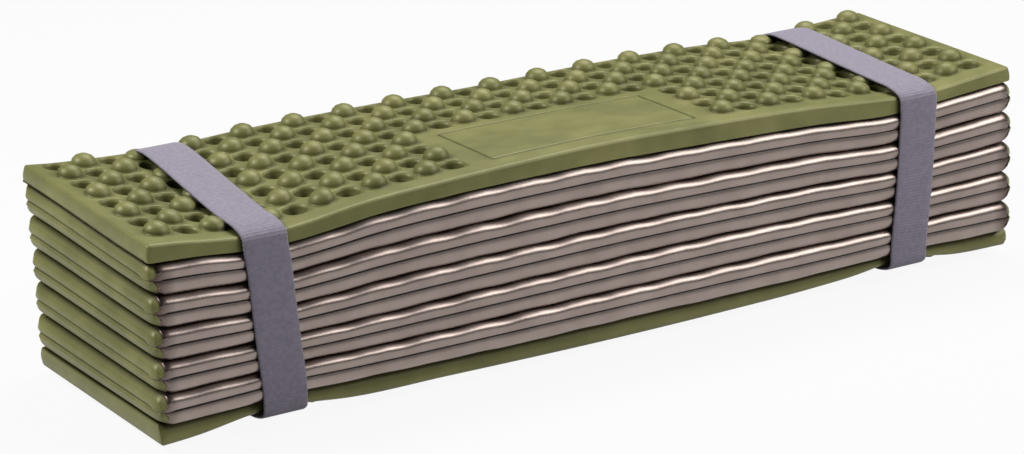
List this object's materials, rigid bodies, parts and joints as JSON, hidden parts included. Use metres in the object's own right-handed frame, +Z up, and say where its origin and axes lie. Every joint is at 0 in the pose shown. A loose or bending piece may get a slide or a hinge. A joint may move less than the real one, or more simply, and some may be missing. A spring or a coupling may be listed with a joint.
{
  "type": "folding foam sleeping pad",
  "caption": "Zigzag-folded closed-cell foam sleeping pad with egg-crate panels, a reflective film side and two elastic straps that hold it packed.",
  "frame": {"origin": "middle of the packed pad's footprint, on the ground plane that the bottom bumps stand on", "axes": "+X along the panels, +Y from the free front edges to the back folds, +Z up through the stack"},
  "size_m": [0.6066, 0.158, 0.131],
  "materials": {
    "foam": "matte closed-cell foam",
    "film": "satin metallised film",
    "webbing": "ribbed elastic webbing"
  },
  "bodies": {
    "panel_12": {"foam_12": "foam", "film_12": "film", "fold_11": "foam"},
    "panel_11": {"foam_11": "foam", "film_11": "film", "fold_10": "film"},
    "panel_10": {"foam_10": "foam", "film_10": "film", "fold_09": "foam"},
    "panel_09": {"foam_09": "foam", "film_09": "film", "fold_08": "film"},
    "panel_08": {"foam_08": "foam", "film_08": "film", "fold_07": "foam"},
    "panel_07": {"foam_07": "foam", "film_07": "film", "fold_06": "film"},
    "panel_06": {"foam_06": "foam", "film_06": "film", "fold_05": "foam"},
    "panel_05": {"foam_05": "foam", "film_05": "film", "fold_04": "film"},
    "panel_04": {"foam_04": "foam", "film_04": "film", "fold_03": "foam"},
    "panel_03": {"foam_03": "foam", "film_03": "film", "fold_02": "film"},
    "panel_02": {"foam_02": "foam", "film_02": "film", "fold_01": "foam"},
    "panel_01": {"foam_01": "foam", "film_01": "film"},
    "left_strap_loop": {"left_strap": "webbing"},
    "right_strap_loop": {"right_strap": "webbing"}
  },
  "joints": [
    {"name": "unfold", "type": "hinge", "parent": "panel_12", "child": "panel_11", "pos_m": [0, 0.0753, 0.01575], "axis": [-1, 0, 0], "range_deg": [0, 180], "deforming": ["left_strap", "right_strap"]},
    {"name": "fold_10_turn", "type": "hinge", "parent": "panel_11", "child": "panel_10", "pos_m": [0, -0.0767, 0.02565], "axis": [1, 0, 0], "range_deg": [0, 180]},
    {"name": "fold_09_turn", "type": "hinge", "parent": "panel_10", "child": "panel_09", "pos_m": [0, 0.0753, 0.03555], "axis": [-1, 0, 0], "range_deg": [0, 180]},
    {"name": "fold_08_turn", "type": "hinge", "parent": "panel_09", "child": "panel_08", "pos_m": [0, -0.0767, 0.04545], "axis": [1, 0, 0], "range_deg": [0, 180]},
    {"name": "fold_07_turn", "type": "hinge", "parent": "panel_08", "child": "panel_07", "pos_m": [0, 0.0753, 0.05535], "axis": [-1, 0, 0], "range_deg": [0, 180]},
    {"name": "fold_06_turn", "type": "hinge", "parent": "panel_07", "child": "panel_06", "pos_m": [0, -0.0767, 0.06525], "axis": [1, 0, 0], "range_deg": [0, 180]},
    {"name": "fold_05_turn", "type": "hinge", "parent": "panel_06", "child": "panel_05", "pos_m": [0, 0.0753, 0.07515], "axis": [-1, 0, 0], "range_deg": [0, 180]},
    {"name": "fold_04_turn", "type": "hinge", "parent": "panel_05", "child": "panel_04", "pos_m": [0, -0.0767, 0.08505], "axis": [1, 0, 0], "range_deg": [0, 180]},
    {"name": "fold_03_turn", "type": "hinge", "parent": "panel_04", "child": "panel_03", "pos_m": [0, 0.0753, 0.09495], "axis": [-1, 0, 0], "range_deg": [0, 180]},
    {"name": "fold_02_turn", "type": "hinge", "parent": "panel_03", "child": "panel_02", "pos_m": [0, -0.0767, 0.10485], "axis": [1, 0, 0], "range_deg": [0, 180]},
    {"name": "fold_01_turn", "type": "hinge", "parent": "panel_02", "child": "panel_01", "pos_m": [0, 0.0753, 0.11475], "axis": [-1, 0, 0], "range_deg": [0, 180]},
    {"name": "left_strap_slide", "type": "slide", "parent": "panel_12", "child": "left_strap_loop", "axis": [-1, 0, 0], "range_m": [0, 0.11]},
    {"name": "right_strap_slide", "type": "slide", "parent": "panel_12", "child": "right_strap_loop", "axis": [1, 0, 0], "range_m": [0, 0.11]}
  ],
  "couplings": [
    {"joint": "fold_10_turn", "follows": "unfold", "ratio": 1},
    {"joint": "fold_09_turn", "follows": "unfold", "ratio": 1},
    {"joint": "fold_08_turn", "follows": "unfold", "ratio": 1},
    {"joint": "fold_07_turn", "follows": "unfold", "ratio": 1},
    {"joint": "fold_06_turn", "follows": "unfold", "ratio": 1},
    {"joint": "fold_05_turn", "follows": "unfold", "ratio": 1},
    {"joint": "fold_04_turn", "follows": "unfold", "ratio": 1},
    {"joint": "fold_03_turn", "follows": "unfold", "ratio": 1},
    {"joint": "fold_02_turn", "follows": "unfold", "ratio": 1},
    {"joint": "fold_01_turn", "follows": "unfold", "ratio": 1},
    {"joint": "left_strap_slide", "follows": "unfold", "m_per_rad": 0.035},
    {"joint": "right_strap_slide", "follows": "unfold", "m_per_rad": 0.035}
  ]
}
